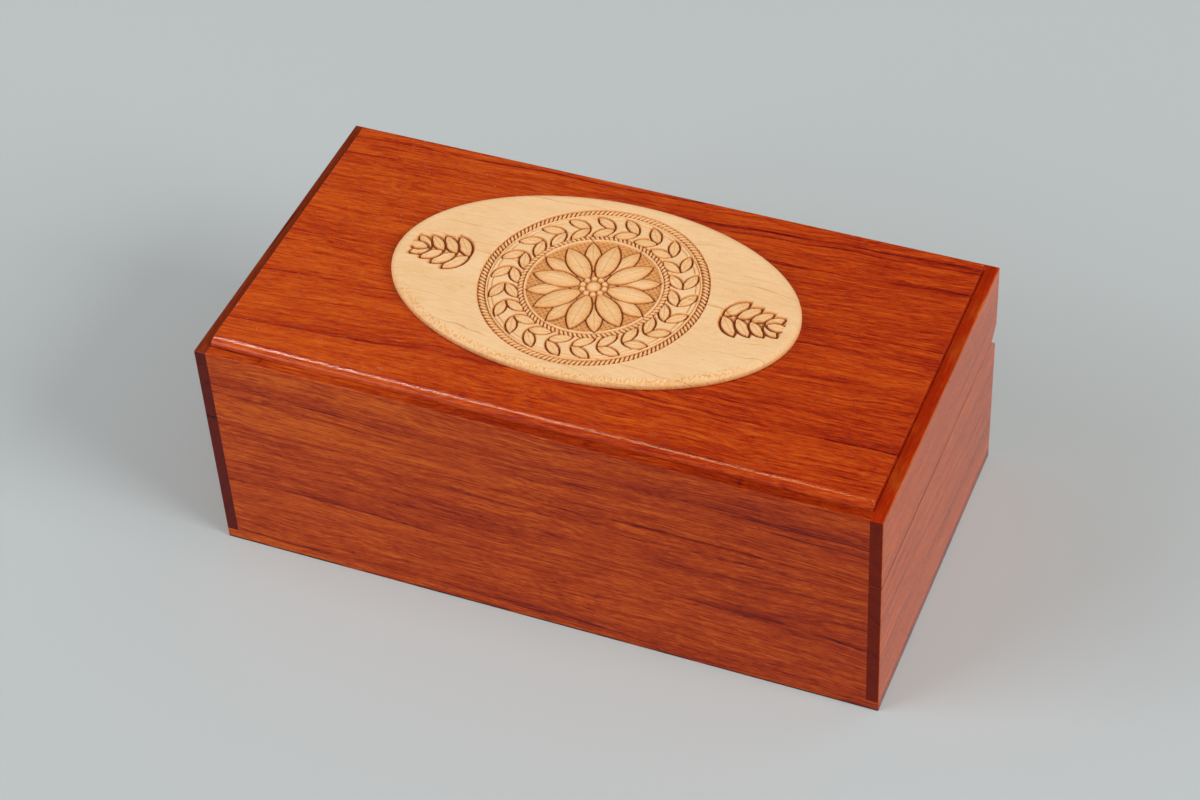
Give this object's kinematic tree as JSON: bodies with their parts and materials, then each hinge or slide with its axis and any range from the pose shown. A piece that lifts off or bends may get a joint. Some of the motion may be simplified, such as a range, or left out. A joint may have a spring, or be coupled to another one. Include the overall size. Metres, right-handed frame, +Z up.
{
  "type": "keepsake box",
  "caption": "Rectangular hardwood keepsake box with a hinged lid, raised lid panel, carved pale oval medallion on top, concealed barrel hinges and felt-lined base.",
  "frame": {"origin": "middle of the underside, on the surface that the box stands on", "axes": "+X to the right along the front, +Y from the front to the hinged back, +Z up"},
  "size_m": [0.26, 0.137, 0.1024],
  "materials": {
    "red_hardwood": "satin clear lacquer over red hardwood with dark streaks",
    "pale_maple": "oiled pale maple, carved",
    "brass": "turned, bright",
    "felt": "pressed wool felt, matt"
  },
  "bodies": {
    "box": {"base_board": "red_hardwood", "base_lining": "felt", "box_front_wall": "red_hardwood", "box_back_wall": "red_hardwood", "box_left_wall": "red_hardwood", "box_right_wall": "red_hardwood", "left_hinge_box_barrel": "brass", "right_hinge_box_barrel": "brass", "left_hinge_pin": "brass", "right_hinge_pin": "brass"},
    "lid": {"lid_front_wall": "red_hardwood", "lid_back_wall": "red_hardwood", "lid_left_wall": "red_hardwood", "lid_right_wall": "red_hardwood", "lid_panel": "red_hardwood", "medallion": "pale_maple", "left_hinge_lid_barrel": "brass", "right_hinge_lid_barrel": "brass"}
  },
  "joints": [
    {"name": "lid_hinge", "type": "hinge", "parent": "box", "child": "lid", "pos_m": [0, 0.063, 0.0643], "axis": [-1, 0, 0], "range_deg": [0, 90]}
  ]
}
